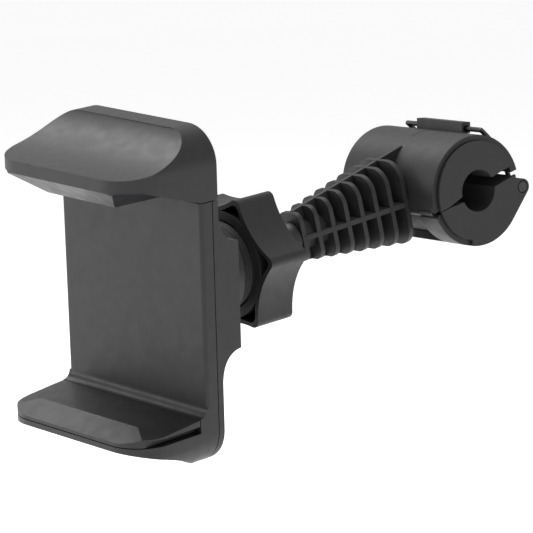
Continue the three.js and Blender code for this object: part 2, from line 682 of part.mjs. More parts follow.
function spring(side) {
  class Helix extends THREE.Curve {
    getPoint(t) {
      const turn = t * SPRING.turns * 2 * Math.PI;
      return new THREE.Vector3(
        side * SPRING.x + SPRING.coil * Math.cos(turn),
        SPRING.y + SPRING.coil * Math.sin(turn),
        SPRING.low + t * (SPRING.high - SPRING.low),
      );
    }
  }
  const section = new THREE.Shape().absarc(0, 0, SPRING.wire, 0, 2 * Math.PI, false);
  const steps = SPRING.turns * 7;
  return solid(new THREE.ExtrudeGeometry(section, { steps, extrudePath: new Helix(), curveSegments: 3 }));
}

// A screw along Y with its head at the back.
function screw(x, z, headFrom, headTo, tip) {
  const head = rodY(2.0, headFrom, headTo, x, z, 12);
  const shank = rodY(0.9, tip, headFrom + 0.1, x, z, 8);
  const slot = block(x - 1.3, x + 1.3, headTo - 0.5, headTo + 1, z - 0.25, z + 0.25);
  const cross = block(x - 0.25, x + 0.25, headTo - 0.5, headTo + 1, z - 1.3, z + 1.3);
  return cut(union([head, shank]), [slot, cross]);
}

// A screw whose head is towards the front, for the collar.
function collarScrew(x, z) {
  const inside = HOLDER.bulge - HOLDER.wall;
  const head = rodY(1.8, inside - GAP - 1.3, inside - GAP, x, z, 12);
  const shank = rodY(0.9, inside - GAP - 0.1, HOLDER.bulge + 6, x, z, 8);
  return union([head, shank]);
}

// ---- assembly -----------------------------------------------------------------------------

const object = new THREE.Group();

mesh('clamp_body_with_arm', clampBody(), MOULDED, object);
mesh('clamp_jaw', jawShell(), MOULDED, object);
mesh('upper_grip_pad', upperPad(), RUBBER, object);
mesh('lower_grip_pad', lowerPad(), RUBBER, object);
mesh('jaw_hinge_pin', onHinge(HINGE.pin, -HINGE.halfLength + 0.2, HINGE.halfLength - 0.2), STEEL, object);
mesh('latch_bail_wire', bail(), STEEL, object);
mesh('latch_lever', latchLever(), MOULDED, object);
for (const [name, side] of [['ear_pin_right', 1], ['ear_pin_left', -1]]) {
  const pin = rodX(EAR.pin, EAR.slotTo + GAP, CLAMP.padEnd, EAR.y, EAR.z, 20);
  mesh(name, side > 0 ? pin : mirrorX(pin), STEEL, object);
}

const arm = new THREE.Group();
arm.rotation.x = rad(ARM.tilt);
object.add(arm);

const ball = new THREE.Group();
ball.position.y = -BALL.distance;
arm.add(ball);
mesh('ball_stud', ballStud(), MOULDED, ball);

// The holder's own frame has its origin at the ball's centre.
const holder = new THREE.Group();
holder.position.set(0, -BALL.distance * Math.cos(rad(ARM.tilt)), -BALL.distance * Math.sin(rad(ARM.tilt)));
holder.rotation.set(rad(HOLDER.pitch), rad(HOLDER.roll), rad(HOLDER.yaw), 'ZXY');
object.add(holder);
mesh('ball_cup', ballCup(), INNER, holder);
mesh('ball_ring', ballRing(), INNER, holder);
mesh('ball_nut', ballNut(), MOULDED, holder);
mesh('socket_collar', socketCollar(), MOULDED, holder);

// Inside it, the casing's frame has y = 0 on the plate's front face.
const casing = new THREE.Group();
casing.position.y = -HOLDER.ballBehind;
holder.add(casing);
mesh('front_casing', frontCasing(), SATIN, casing);
mesh('rear_casing', rearCasing(), SATIN, casing);
mesh('lower_jaw_pad', lowerJawPad(), SATIN, casing);
mesh('upper_jaw', upperJaw(), SATIN, casing);
mesh('upper_jaw_pad', upperJawPad(), RUBBER, casing);
mesh('jaw_slider', slider(), INNER, casing);
mesh('return_spring_right', spring(1), STEEL, casing);
mesh('return_spring_left', spring(-1), STEEL, casing);

casingScrewPlaces().forEach(([x, z], i) => {
  mesh(`casing_screw_${i + 1}`, screw(x, z, HOLDER.back - 0.9, HOLDER.back + 0.1, 2.6), STEEL, casing);
});
upperScrewPlaces().forEach(([x, z], i) => {
  mesh(`upper_jaw_screw_${i + 1}`, screw(x, z, HOLDER.back - 1.0, HOLDER.back + 0.1, 1), STEEL, casing);
});
collarScrewPlaces().forEach(([x, z], i) => {
  mesh(`collar_screw_${i + 1}`, collarScrew(x, z), STEEL, casing);
});

export default object;
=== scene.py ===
"""Looks of a clamp-on phone holder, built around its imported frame.

Every piece is made in millimetres in its own group's place (the clamp, the arm, the ball or the casing),
and is put into the frame in metres when it is finished.
"""
import json
import math

import bmesh
import bpy
from bpy.props import FloatProperty, FloatVectorProperty, IntProperty, PointerProperty
from mathutils import Matrix, Vector


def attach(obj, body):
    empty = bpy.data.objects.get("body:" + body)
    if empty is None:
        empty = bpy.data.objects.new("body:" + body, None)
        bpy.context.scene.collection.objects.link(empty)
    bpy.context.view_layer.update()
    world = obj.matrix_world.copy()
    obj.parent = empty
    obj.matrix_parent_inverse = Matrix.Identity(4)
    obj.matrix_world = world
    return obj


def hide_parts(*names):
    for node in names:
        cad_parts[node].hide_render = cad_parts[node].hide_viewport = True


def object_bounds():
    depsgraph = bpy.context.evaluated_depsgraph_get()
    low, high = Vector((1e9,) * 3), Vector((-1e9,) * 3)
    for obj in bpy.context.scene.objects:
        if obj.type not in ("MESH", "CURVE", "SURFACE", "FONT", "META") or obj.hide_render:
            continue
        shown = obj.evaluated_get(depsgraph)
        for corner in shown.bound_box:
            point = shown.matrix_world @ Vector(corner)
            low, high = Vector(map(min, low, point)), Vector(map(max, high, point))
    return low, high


bl_info = {
    "name": "Clamp-on Phone Holder",
    "version": (1, 0, 0),
    "blender": (4, 5, 0),
    "location": "3D View > Sidebar > Phone Holder",
    "description": "Builds the clamp, ribbed arm, ball nut and sprung phone clamp around the packed frame",
    "category": "Object",
}

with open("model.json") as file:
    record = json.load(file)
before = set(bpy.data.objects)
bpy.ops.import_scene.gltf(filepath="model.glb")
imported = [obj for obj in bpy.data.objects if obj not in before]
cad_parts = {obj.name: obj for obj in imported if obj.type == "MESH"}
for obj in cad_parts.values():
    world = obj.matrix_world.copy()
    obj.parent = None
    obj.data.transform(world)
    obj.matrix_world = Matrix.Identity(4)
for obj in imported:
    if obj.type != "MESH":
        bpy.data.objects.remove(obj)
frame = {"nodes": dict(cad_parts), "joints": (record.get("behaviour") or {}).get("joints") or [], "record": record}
cad_box = [list(corner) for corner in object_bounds()]

# ---- places from the frame -------------------------------------------------------------------------

MM = 0.001
GAP = 0.3
JOINTS = {joint["name"]: joint for joint in frame["joints"]}
MOUNTS = {mount["name"]: mount for mount in frame["record"]["mounts"]}
BALL = Vector(JOINTS["ball_tilt"]["pos_m"])
HINGE = Vector(JOINTS["jaw_hinge"]["pos_m"]) / MM
EAR = Vector(JOINTS["bail_swing"]["pos_m"]) / MM
BAR = Vector(JOINTS["lever_pivot"]["pos_m"]) / MM
ACROSS, ALONG, UP = (Vector(JOINTS[name]["axis"]) for name in ("ball_tilt", "ball_spin", "ball_swing"))
HOLDER_TURN = Matrix((ACROSS, ALONG, UP)).transposed().to_4x4()
ARM_TILT = math.atan2(-BALL.z, -BALL.y)
PLATE = Vector(MOUNTS["phone_back_plate"]["pos_m"])

IN_CLAMP = Matrix.Scale(MM, 4)
AT_BALL = Matrix.Translation(BALL) @ HOLDER_TURN @ IN_CLAMP
IN_CASING = Matrix.Translation(PLATE) @ HOLDER_TURN @ IN_CLAMP
PLATE_TO_BALL = (BALL - PLATE).dot(ALONG) / MM

# ---- sizes ------------------------------------------------------------------------------------------

SHELL = {"outer": 17.4, "inner": 15.0, "half": 23.1, "split": 22.0, "mouth_top": 19.0, "mouth": 1.65}
PAD = {"bore": 6.6, "flange": 15.6, "flange_from": 23.4, "end": 24.3}
KNUCKLE = {"radius": 2.3, "middle": 14.2, "end": 21.0, "pin": 1.0}
EAR_SIZE = {"radius": 2.6, "pin": 1.7, "slot_from": 17.3, "slot_to": 19.7}
SEAT = {"front": 2.7, "back": 8.4, "floor": 15.3, "top": 19.0, "margin": 0.5}
PARTING = {"depth": 0.22, "half": 0.13, "from": 62.0, "to": 115.0}
WIRE = {"x": 18.5, "bow": 1.8, "in_ear": 13.6}
LEVER = {"half": 11.5, "front": 3.7, "back": 7.0, "toe": 16.4, "bottom": 16.8, "top": 20.4, "tongue": 6.0}
ARM = {"ribs": 8, "first": 54.8, "pitch": 5.21, "wide": 5.39, "high": 7.84, "widen": 0.773, "heighten": 0.829,
       "round": 0.58, "rise": 0.37}
STUD = {"radius": 8.6, "neck": 4.0, "shoulder": 5.2, "pin": 2.7, "pin_length": 8.5}
NUT = {"corner": 22.3, "round": 2.2, "hollow": 16.0, "lobes": 6, "phase": 11.0, "front": -6.0, "back": 8.9,
       "wall": 3.4, "skirt": 0.915, "sleeve": 17.0, "bore": 14.2, "mouth": 7.9}
COLLAR = {"flange": 16.3, "thread": 13.8, "socket": 10.9, "step": -11.8, "end": -2.8, "bore": 8.5,
          "thread_pitch": 1.5}
BODY = {"half": 30.1, "top": 51.9, "bottom": -49.3, "corner": 11.0, "back": 6.8, "wall": 1.8, "seam": 4.4,
        "jaw_top": 31.0, "jaw_bottom": -33.0, "front": -27.4, "jaw_corner": 11.5, "cove": 2.7, "tray": 4.0,
        "bulge": 14.5, "bulge_low": -15.1, "bulge_high": 17.3, "ramp": 9.0}
SLIDER = {"half": 13.0, "front": 2.5, "back": 4.0, "top": 37.0}
SCREW = {"hole": 1.2, "head": 2.3, "boss": 2.4, "sunk": 1.0}
CASING_SCREWS = [(26.3, 27.2), (-26.3, 27.2), (-26.3, -30.0), (26.3, -30.0)]
JAW_SCREWS = [(8.0, 34.5), (-8.0, 34.5)]
SHALLOW_CREASE = 14.0
FLOOR_DROP = 0.09
FLOOR_GLOW = 0.4
WORLD_GLOW = 0.6


# ---- settings ---------------------------------------------------------------------------------------

def length(name, description, default):
    """A length property, given in metres."""
    return FloatProperty(name=name, description=description, default=default, min=0.0,
                         unit="LENGTH", subtype="DISTANCE", precision=5)


def colour(name, description, default):
    return FloatVectorProperty(name=name, description=description, default=default, min=0.0, max=1.0,
                               size=3, subtype="COLOR")


class HolderSizes(bpy.types.PropertyGroup):
    """Sizes that a user would change without moving the frame."""
    round_sides: IntProperty(name="Round sides", description="Sides of a full circle", default=96, min=24)
    moulded_edge: length("Moulded edge", "Radius of the clamp's and arm's edges", 0.00035)
    casing_edge: length("Casing edge", "Radius of the holder's long edges", 0.0007)
    nut_edge: length("Nut edge", "Radius of the nut's edges", 0.0009)
    wire_radius: length("Wire radius", "Half the latch wire's thickness", 0.0008)
    rib_thickness: length("Rib thickness", "Thickness of the arm's ribs", 0.00155)
    web_thickness: length("Web thickness", "Thickness of the arm's two webs", 0.0015)


class HolderColours(bpy.types.PropertyGroup):
    """Colours of the finishes."""
    moulded: colour("Moulded plastic", "Clamp, arm and nut", (0.016, 0.016, 0.0175))
    satin: colour("Satin plastic", "The phone clamp's casings", (0.015, 0.015, 0.0168))
    rubber: colour("Rubber", "Grip pads", (0.018, 0.018, 0.019))
    inner: colour("Inner plastic", "Pieces inside the joint and casing", (0.015, 0.015, 0.016))
    steel: colour("Black steel", "Wire, pins, springs and screws", (0.060, 0.060, 0.064))
    floor: colour("Floor", "The studio floor", (0.93, 0.93, 0.93))


class HolderView(bpy.types.PropertyGroup):
    """Where the camera stands and how bright the studio is."""
    azimuth: FloatProperty(name="Azimuth", description="Camera's turn round the object",
                           default=math.radians(54.518), subtype="ANGLE", unit="ROTATION")
    elevation: FloatProperty(name="Elevation", description="Camera's height above the horizon",
                             default=math.radians(7.31), subtype="ANGLE", unit="ROTATION")
    distance: length("Distance", "From the camera to the point it looks at", 0.909)
    focal: FloatProperty(name="Focal length", description="In millimetres, on a 36 mm sensor", default=192.5)
    look_at: FloatVectorProperty(name="Look at", description="The point in the middle of the picture",
                                 default=(-0.02747, -0.04435, -0.02596), subtype="TRANSLATION",
                                 unit="LENGTH", size=3, precision=5)
    brightness: FloatProperty(name="Brightness", description="Scales every lamp", default=1.0, min=0.0)


# ---- shapes -----------------------------------------------------------------------------------------

TOP_CORNERS = {(1, 1), (-1, 1)}
BOTTOM_CORNERS = {(1, -1), (-1, -1)}

def sides():
    return bpy.context.scene.holder_sizes.round_sides


def sizes():
    return bpy.context.scene.holder_sizes


def arc(centre, radius, start, end):
    """Points of an arc in degrees, with the share of the full circle's sides that it needs."""
    steps = max(4, round(sides() * abs(end - start) / 360))
    turns = [math.radians(start + (end - start) * i / steps) for i in range(steps + 1)]
    return [(centre[0] + radius * math.cos(t), centre[1] + radius * math.sin(t)) for t in turns]


def bow(start, control, end, steps=20):
    """Points of a quadratic curve from start to end."""
    def at(t):
        return tuple((1 - t) ** 2 * a + 2 * t * (1 - t) * b + t * t * c
                     for a, b, c in zip(start, control, end))
    return [at(i / steps) for i in range(steps + 1)]


def placed(axis, u, v, w):
    """A drawing's (u, v) with w along the axis: X takes (y, z), Y takes (x, z) and Z takes (x, y)."""
    return {"X": (w, u, v), "Y": (u, w, v), "Z": (u, v, w)}[axis]


def prism(outline, axis, low, high):
    """A closed outline drawn across the axis and extruded along it."""
    bm = bmesh.new()
    face = bm.faces.new([bm.verts.new(placed(axis, u, v, low)) for u, v in outline])
    grown = bmesh.ops.extrude_face_region(bm, geom=[face])["geom"]
    far = [item for item in grown if isinstance(item, bmesh.types.BMVert)]
    bmesh.ops.translate(bm, verts=far, vec=placed(axis, 0, 0, high - low))
    bmesh.ops.remove_doubles(bm, verts=bm.verts, dist=1e-5)
    bmesh.ops.recalc_face_normals(bm, faces=bm.faces)
    return bm


def block(low, high):
    bm = bmesh.new()
    size = [b - a for a, b in zip(low, high)]
    middle = [(a + b) / 2 for a, b in zip(low, high)]
    bmesh.ops.create_cube(bm, size=1.0, matrix=Matrix.Translation(middle) @ Matrix.Diagonal((*size, 1.0)))
    return bm


def rounded_block(low, high, axis, corners, radius):
    """A block whose edges along the axis are rounded at the corners named by their two signs."""
    bm = block(low, high)
    lane = "XYZ".index(axis)
    across = [i for i in range(3) if i != lane]
    middle = [(a + b) / 2 for a, b in zip(low, high)]
    chosen = []
    for edge in bm.edges:
        a, b = (v.co for v in edge.verts)
        side = tuple(1 if (a[i] + b[i]) / 2 > middle[i] else -1 for i in across)
        if abs(a[lane] - b[lane]) > 0.5 * (high[lane] - low[lane]) and side in corners:
            chosen.append(edge)
    bmesh.ops.bevel(bm, geom=chosen, offset=radius, offset_type="OFFSET", segments=sides() // 4,
                    profile=0.5, affect="EDGES", material=-1)
    return bm


ROD_TURNS = {
    "X": Matrix.Rotation(math.radians(90), 4, "Y"),
    "Y": Matrix.Rotation(math.radians(-90), 4, "X"),
    "Z": Matrix.Identity(4),
}


def rod(radius, axis, low, high, centre=(0.0, 0.0), count=None):
    bm = bmesh.new()
    place = Matrix.Translation(placed(axis, *centre, (low + high) / 2)) @ ROD_TURNS[axis]
    bmesh.ops.create_cone(bm, cap_ends=True, segments=count or sides(), radius1=radius, radius2=radius,
                          depth=high - low, matrix=place)
    return bm


def turned(profile):
    """A profile of (radius, y) points spun round the Y axis, and closed if it starts off the axis."""
    bm = bmesh.new()
    line = [bm.verts.new((r, y, 0.0)) for r, y in profile]
    edges = [bm.edges.new(pair) for pair in zip(line, line[1:])]
    if profile[0][0] > 0:
        edges.append(bm.edges.new((line[-1], line[0])))
    bmesh.ops.spin(bm, geom=line + edges, cent=(0, 0, 0), axis=(0, 1, 0), dvec=(0, 0, 0),
                   angle=2 * math.pi, steps=sides(), use_merge=True, use_duplicate=False)
    bmesh.ops.remove_doubles(bm, verts=bm.verts, dist=1e-4)
    bmesh.ops.dissolve_degenerate(bm, dist=1e-4, edges=bm.edges)
    bmesh.ops.recalc_face_normals(bm, faces=bm.faces)
    return bm


def sphere_profile(radius, start, end, steps):
    """(radius, y) points on a sphere, between two angles from +Y in degrees."""
    turns = [math.radians(start + (end - start) * i / steps) for i in range(steps + 1)]
    return [(radius * math.sin(t), radius * math.cos(t)) for t in turns]


def mirrored(bm):
    """A copy on the other side of x = 0."""
    other = bm.copy()
    bmesh.ops.scale(other, vec=(-1, 1, 1), verts=other.verts)
    bmesh.ops.reverse_faces(other, faces=other.faces)
    return other


def turned_about_x(bm, degrees):
    turn = Matrix.Rotation(math.radians(degrees), 3, "X")
    bmesh.ops.rotate(bm, verts=bm.verts, cent=(0, 0, 0), matrix=turn)
    return bm


def temporary(bm):
    mesh = bpy.data.meshes.new("working")
    bm.to_mesh(mesh)
    bm.free()
    thing = bpy.data.objects.new("working", mesh)
    bpy.context.scene.collection.objects.link(thing)
    return thing


def combined(operation, base, tools):
    """The base with each tool joined, cut or met by an exact boolean."""
    body = temporary(base)
    spent = [body]
    for tool in tools:
        other = temporary(tool)
        spent.append(other)
        step = body.modifiers.new("step", "BOOLEAN")
        step.operation = operation
        step.solver = "EXACT"
        step.object = other
    depsgraph = bpy.context.evaluated_depsgraph_get()
    mesh = bpy.data.meshes.new_from_object(body.evaluated_get(depsgraph))
    result = bmesh.new()
    result.from_mesh(mesh)
    bpy.data.meshes.remove(mesh)
    for thing in spent:
        data = thing.data
        bpy.data.objects.remove(thing)
        bpy.data.meshes.remove(data)
    bmesh.ops.remove_doubles(result, verts=result.verts, dist=1e-4)
    return result


def joined(base, *tools):
    return combined("UNION", base, tools)


def cut(base, *tools):
    return combined("DIFFERENCE", base, tools)


def met(base, tool):
    return combined("INTERSECT", base, [tool])


def slab(point, normal, size=160.0):
    """A big block that starts at a plane and fills the side that the normal points to."""
    direction = Vector(normal).normalized()
    turn = Vector((0, 0, 1)).rotation_difference(direction).to_matrix().to_4x4()
    bm = bmesh.new()
    centre = Matrix.Translation(Vector(point) + direction * size / 2) @ turn
    bmesh.ops.create_cube(bm, size=size, matrix=centre)
    return bm


def slab_through(points, side):
    """The slab beyond the plane through three points, on its upper (1) or lower (-1) side."""
    a, b, c = (Vector(p) for p in points)
    normal = (b - a).cross(c - a)
    if normal.z * side < 0:
        normal.negate()
    return slab(a, normal)


# ---- materials --------------------------------------------------------------------------------------

def new_material(name):
    """A node material with its shader and object coordinates."""
    material = bpy.data.materials.new(name)
    material.use_nodes = True
    nodes = material.node_tree.nodes
    shader = nodes["Principled BSDF"]
    place = nodes.new("ShaderNodeTexCoord")
    return material, shader, place


def noise(material, place, scale, detail=3.0, roughness=0.5):
    node = material.node_tree.nodes.new("ShaderNodeTexNoise")
    node.inputs["Scale"].default_value = scale
    node.inputs["Detail"].default_value = detail
    node.inputs["Roughness"].default_value = roughness
    material.node_tree.links.new(place.outputs["Object"], node.inputs["Vector"])
    return node


def ramp(material, source, low, high, stops=(0.35, 0.65)):
    """The source's value carried from low to high; each end is a grey level or a colour."""
    node = material.node_tree.nodes.new("ShaderNodeValToRGB")
    for stop, element, value in zip(stops, node.color_ramp.elements, (low, high)):
        element.position = stop
        element.color = (*value, 1.0) if hasattr(value, "__len__") else (value, value, value, 1.0)
    material.node_tree.links.new(source, node.inputs["Fac"])
    return node.outputs["Color"]


def bump(material, shader, layers):
    """Chained bumps: each layer is a height output, its strength and its depth in metres."""
    links = material.node_tree.links
    last = None
    for height, strength, depth in layers:
        node = material.node_tree.nodes.new("ShaderNodeBump")
        node.inputs["Strength"].default_value = strength
        node.inputs["Distance"].default_value = depth
        links.new(height, node.inputs["Height"])
        if last is not None:
            links.new(last, node.inputs["Normal"])
        last = node.outputs["Normal"]
    links.new(last, shader.inputs["Normal"])


def shaded(tone, factor):
    return tuple(min(1.0, channel * factor) for channel in tone)


def moulded_finish(name, tone, roughness, grain, depth):
    """Spark-eroded black plastic: fine grain, a little mottling and patchy gloss."""
    material, shader, place = new_material(name)
    links = material.node_tree.links
    mottle = noise(material, place, 420.0, 4.0)
    fine = noise(material, place, grain, 2.0, 0.6)
    patches = noise(material, place, 260.0, 3.0)
    links.new(ramp(material, mottle.outputs["Fac"], shaded(tone, 0.94), shaded(tone, 1.07)),
              shader.inputs["Base Color"])
    links.new(ramp(material, patches.outputs["Fac"], roughness - 0.04, roughness + 0.05),
              shader.inputs["Roughness"])
    shader.inputs["IOR"].default_value = 1.43
    bump(material, shader, [(fine.outputs["Fac"], 0.35, depth)])
    return material


def rubber_finish(tone):
    """Matte elastomer with a faint powdery bloom."""
    material, shader, place = new_material("matte_rubber")
    links = material.node_tree.links
    bloom = noise(material, place, 320.0, 5.0, 0.65)
    fine = noise(material, place, 4200.0, 2.0)
    links.new(ramp(material, bloom.outputs["Fac"], shaded(tone, 0.85), shaded(tone, 1.2)),
              shader.inputs["Base Color"])
    links.new(ramp(material, bloom.outputs["Fac"], 0.62, 0.78), shader.inputs["Roughness"])
    bump(material, shader, [(fine.outputs["Fac"], 0.4, 0.00003)])
    return material


def steel_finish(tone):
    """Black-plated steel: glossy, with fine drawn streaks."""
    material, shader, place = new_material("black_steel")
    nodes = material.node_tree.nodes
    links = material.node_tree.links
    stretch = nodes.new("ShaderNodeMapping")
    stretch.inputs["Scale"].default_value = (0.15, 1.0, 1.0)
    links.new(place.outputs["Object"], stretch.inputs["Vector"])
    streaks = noise(material, place, 1800.0, 3.0)
    links.new(stretch.outputs["Vector"], streaks.inputs["Vector"])
    links.new(ramp(material, streaks.outputs["Fac"], 0.24, 0.38), shader.inputs["Roughness"])
    links.new(ramp(material, streaks.outputs["Fac"], shaded(tone, 0.85), shaded(tone, 1.25)),
              shader.inputs["Base Color"])
    shader.inputs["Metallic"].default_value = 0.85
    bump(material, shader, [(streaks.outputs["Fac"], 0.1, 0.00002)])
    return material


MAKERS = {
    "moulded_plastic": lambda tones: moulded_finish("moulded_charcoal", tones.moulded, 0.50, 2600.0, 0.00005),
    "satin_plastic": lambda tones: moulded_finish("satin_charcoal", tones.satin, 0.44, 3200.0, 0.00003),
    "inner_plastic": lambda tones: moulded_finish("inner_black", tones.inner, 0.55, 1500.0, 0.00003),
    "rubber": lambda tones: rubber_finish(tones.rubber),
    "dark_steel": lambda tones: steel_finish(tones.steel),
}
made = {}


def finish_for(slot):
    if slot not in made:
        made[slot] = MAKERS[slot](bpy.context.scene.holder_colours)
    return made[slot]


# ---- finishing a piece ------------------------------------------------------------------------------

def piece(name, bm, place, body, slot, nodes=(), edge=None, segments=3, limit=30.0):
    """Puts a finished bmesh into the frame, with rounded edges, a body, a slot and the nodes it replaces."""
    bmesh.ops.remove_doubles(bm, verts=bm.verts, dist=2e-3)
    bmesh.ops.dissolve_limit(bm, angle_limit=math.radians(0.4), use_dissolve_boundaries=False,
                             verts=bm.verts, edges=bm.edges)
    bmesh.ops.recalc_face_normals(bm, faces=bm.faces)
    bmesh.ops.transform(bm, matrix=place, verts=bm.verts)
    for face in bm.faces:
        face.smooth = True
    mesh = bpy.data.meshes.new(name)
    bm.to_mesh(mesh)
    bm.free()
    mesh.set_sharp_from_angle(angle=math.radians(limit))
    thing = bpy.data.objects.new(name, mesh)
    bpy.context.scene.collection.objects.link(thing)
    mesh.materials.append(finish_for(slot))
    if edge:
        rounding = thing.modifiers.new("rounded edges", "BEVEL")
        rounding.width = edge
        rounding.segments = segments
        rounding.profile = 0.5
        rounding.limit_method = "ANGLE"
        rounding.angle_limit = math.radians(limit)
        rounding.miter_outer = "MITER_ARC"
        rounding.harden_normals = True
    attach(thing, body)
    if nodes:
        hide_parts(*nodes)
    return thing


# ---- the clamp --------------------------------------------------------------------------------------

def sector(inner, outer, start, end):
    return arc((0, 0), outer, start, end) + arc((0, 0), inner, end, start)


def on_hinge(radius, low, high):
    return rod(radius, "X", low, high, (HINGE.y, HINGE.z), 40)


def split_block(u0, u1, v0, v1):
    """A block in the split's frame: u along the split towards the mouth, v above it."""
    return turned_about_x(block((-40, u0, v0), (40, u1, v1)), SHELL["split"])


def both_sides(bm):
    return bm, mirrored(bm)


def wire_radius():
    return sizes().wire_radius / MM


def barrel_shell():
    """The upper shell with the middle knuckle, the latch seat, the wire's grooves and the parting line."""
    half = SHELL["half"]
    shell = prism(sector(SHELL["inner"], SHELL["outer"], SHELL["mouth_top"], 179 + SHELL["split"]),
                  "X", -half, half)
    clearance = on_hinge(KNUCKLE["radius"] + GAP, KNUCKLE["middle"], KNUCKLE["end"] + GAP)
    groove = prism(sector(SHELL["inner"] + 0.8, SHELL["outer"] + 2, 8, 78), "X",
                   EAR_SIZE["slot_from"], EAR_SIZE["slot_to"])
    width = LEVER["half"] + SEAT["margin"]
    seat = block((-width, SEAT["front"], SEAT["floor"]), (width, SEAT["back"], SEAT["top"]))
    line = sector(SHELL["outer"] - PARTING["depth"], SHELL["outer"] + 1, PARTING["from"], PARTING["to"])
    parting = prism(line, "X", -PARTING["half"], PARTING["half"])
    shell = joined(shell, on_hinge(KNUCKLE["radius"], -KNUCKLE["middle"], KNUCKLE["middle"]))
    reach = KNUCKLE["middle"] + GAP
    shell = cut(shell, on_hinge(KNUCKLE["pin"] + GAP, -reach, reach))
    return cut(shell, *both_sides(clearance), *both_sides(groove), seat, parting)


def jaw_outline(inner):
    """The jaw's section: the barrel's underside, a straight run to the ear, the ear and the inner wall."""
    reach = math.hypot(EAR.y, EAR.z)
    lean = math.acos((SHELL["outer"] - EAR_SIZE["radius"]) / reach)
    tangent = math.degrees(math.atan2(EAR.z, EAR.y) - lean)
    hinge_side = SHELL["split"] + 181 - 360
    return (arc((0, 0), SHELL["outer"], hinge_side, tangent)
            + arc((EAR.y, EAR.z), EAR_SIZE["radius"], tangent, 95)
            + arc((0, 0), inner, 11.5, hinge_side))


def jaw_shell():
    """The lower shell with its ear and outer knuckles, cut back for its own swing."""
    half = SHELL["half"]
    shell = prism(jaw_outline(SHELL["inner"]), "X", -half, half)
    hinge = 180 + SHELL["split"]
    spokes = [(HINGE.y + 9 * math.cos(math.radians(a)), HINGE.z + 9 * math.sin(math.radians(a)))
              for a in (hinge - 20, hinge + 36)]
    swing = prism([(HINGE.y, HINGE.z), *spokes], "X", -30, 30)
    reach = KNUCKLE["middle"] + GAP
    window = prism(sector(SHELL["inner"] - 2, SHELL["outer"] + 2, hinge - 12, hinge + 50), "X", -reach, reach)
    slot = block((EAR_SIZE["slot_from"], 15.4, -6), (EAR_SIZE["slot_to"], 25, 8))
    pin_hole = rod(EAR_SIZE["pin"] + GAP, "X", EAR_SIZE["slot_to"] - 0.1, 30, (EAR.y, EAR.z), 40)
    wire_hole = rod(wire_radius() + GAP, "X", WIRE["in_ear"] - GAP, EAR_SIZE["slot_to"], (EAR.y, EAR.z), 32)
    knuckle = on_hinge(KNUCKLE["radius"], reach, KNUCKLE["end"])
    shell = cut(shell, swing, window, on_hinge(KNUCKLE["radius"] + GAP, -reach, reach))
    shell = joined(shell, *both_sides(knuckle))
    return cut(shell, *both_sides(slot), *both_sides(pin_hole), *both_sides(wire_hole),
               on_hinge(KNUCKLE["pin"] + GAP, -30, 30))


def pad_blank():
    """Both grip pads in one: the core and the two end flanges."""
    flange = rod(PAD["flange"], "X", PAD["flange_from"], PAD["end"])
    core = rod(SHELL["inner"] - GAP, "X", -PAD["end"], PAD["end"])
    return joined(core, *both_sides(flange))


def pad_cuts():
    """The post's bore, the relief notch and the room for the hinge."""
    bore = rod(PAD["bore"], "X", -30, 30)
    lip = PAD["bore"] - 1.2
    notch = turned_about_x(prism([(-lip, 1.1), (-12.8, 0.06), (-12.8, -0.06), (-lip, -1.1)], "X", -30, 30),
                           SHELL["split"])
    return bore, notch, on_hinge(KNUCKLE["radius"] + 2 * GAP, -KNUCKLE["end"] - GAP, KNUCKLE["end"] + GAP)


def upper_pad():
    mouth = SHELL["mouth"]
    return cut(pad_blank(), *pad_cuts(), split_block(-40, 40, -40, GAP / 2), split_block(0, 40, -1, mouth))


def lower_pad():
    mouth = SHELL["mouth"]
    half = cut(pad_blank(), *pad_cuts(), split_block(-40, 40, -GAP / 2, 40), split_block(0, 40, -mouth, 1))
    cover = prism(jaw_outline(SHELL["inner"] - 1), "X", PAD["flange_from"], PAD["end"])
    ear_pin = rod(EAR_SIZE["pin"] + GAP, "X", 20, 30, (EAR.y, EAR.z), 40)
    cover = cut(cover, ear_pin, block((0, -40, -40), (60, -2, 40)))
    return joined(half, *both_sides(cover))


def bail_wire():
    """Rods and a bowed side on one half, with balls at the bends, and the same mirrored."""
    radius = wire_radius()
    foot = Vector((WIRE["x"], EAR.y, EAR.z))
    head = Vector((WIRE["x"], BAR.y, BAR.z))
    chord = head - foot
    outward = Vector((0, chord.z, -chord.y)).normalized()
    control = (foot + head) / 2 + outward * 2 * WIRE["bow"]
    side = swept(bow(foot, control, head, 28), radius)
    ends = [rod(radius, "X", WIRE["in_ear"], WIRE["x"], (EAR.y, EAR.z), 32)]
    for at in (foot, head):
        knee = bmesh.new()
        bmesh.ops.create_uvsphere(knee, u_segments=32, v_segments=24, radius=radius * 1.001,
                                  matrix=Matrix.Translation(at))
        ends.append(knee)
    half = joined(side, *ends)
    bar = rod(radius, "X", -WIRE["x"], WIRE["x"], (BAR.y, BAR.z), 32)
    return joined(half, mirrored(half), bar)


def swept(points, radius, count=32):
    """A round bar along points that lie in one plane across X."""
    bm = bmesh.new()
    rings = []
    for i, point in enumerate(points):
        before = Vector(points[max(0, i - 1)])
        after = Vector(points[min(len(points) - 1, i + 1)])
        turn = Vector((0, 0, 1)).rotation_difference((after - before).normalized()).to_matrix().to_4x4()
        ring = bmesh.ops.create_circle(bm, cap_ends=i in (0, len(points) - 1), radius=radius, segments=count,
                                       matrix=Matrix.Translation(point) @ turn)["verts"]
        rings.append([e for e in bm.edges if all(v in ring for v in e.verts)])
    for near, far in zip(rings, rings[1:]):
        bmesh.ops.bridge_loops(bm, edges=near + far)
    bmesh.ops.recalc_face_normals(bm, faces=bm.faces)
    return bm


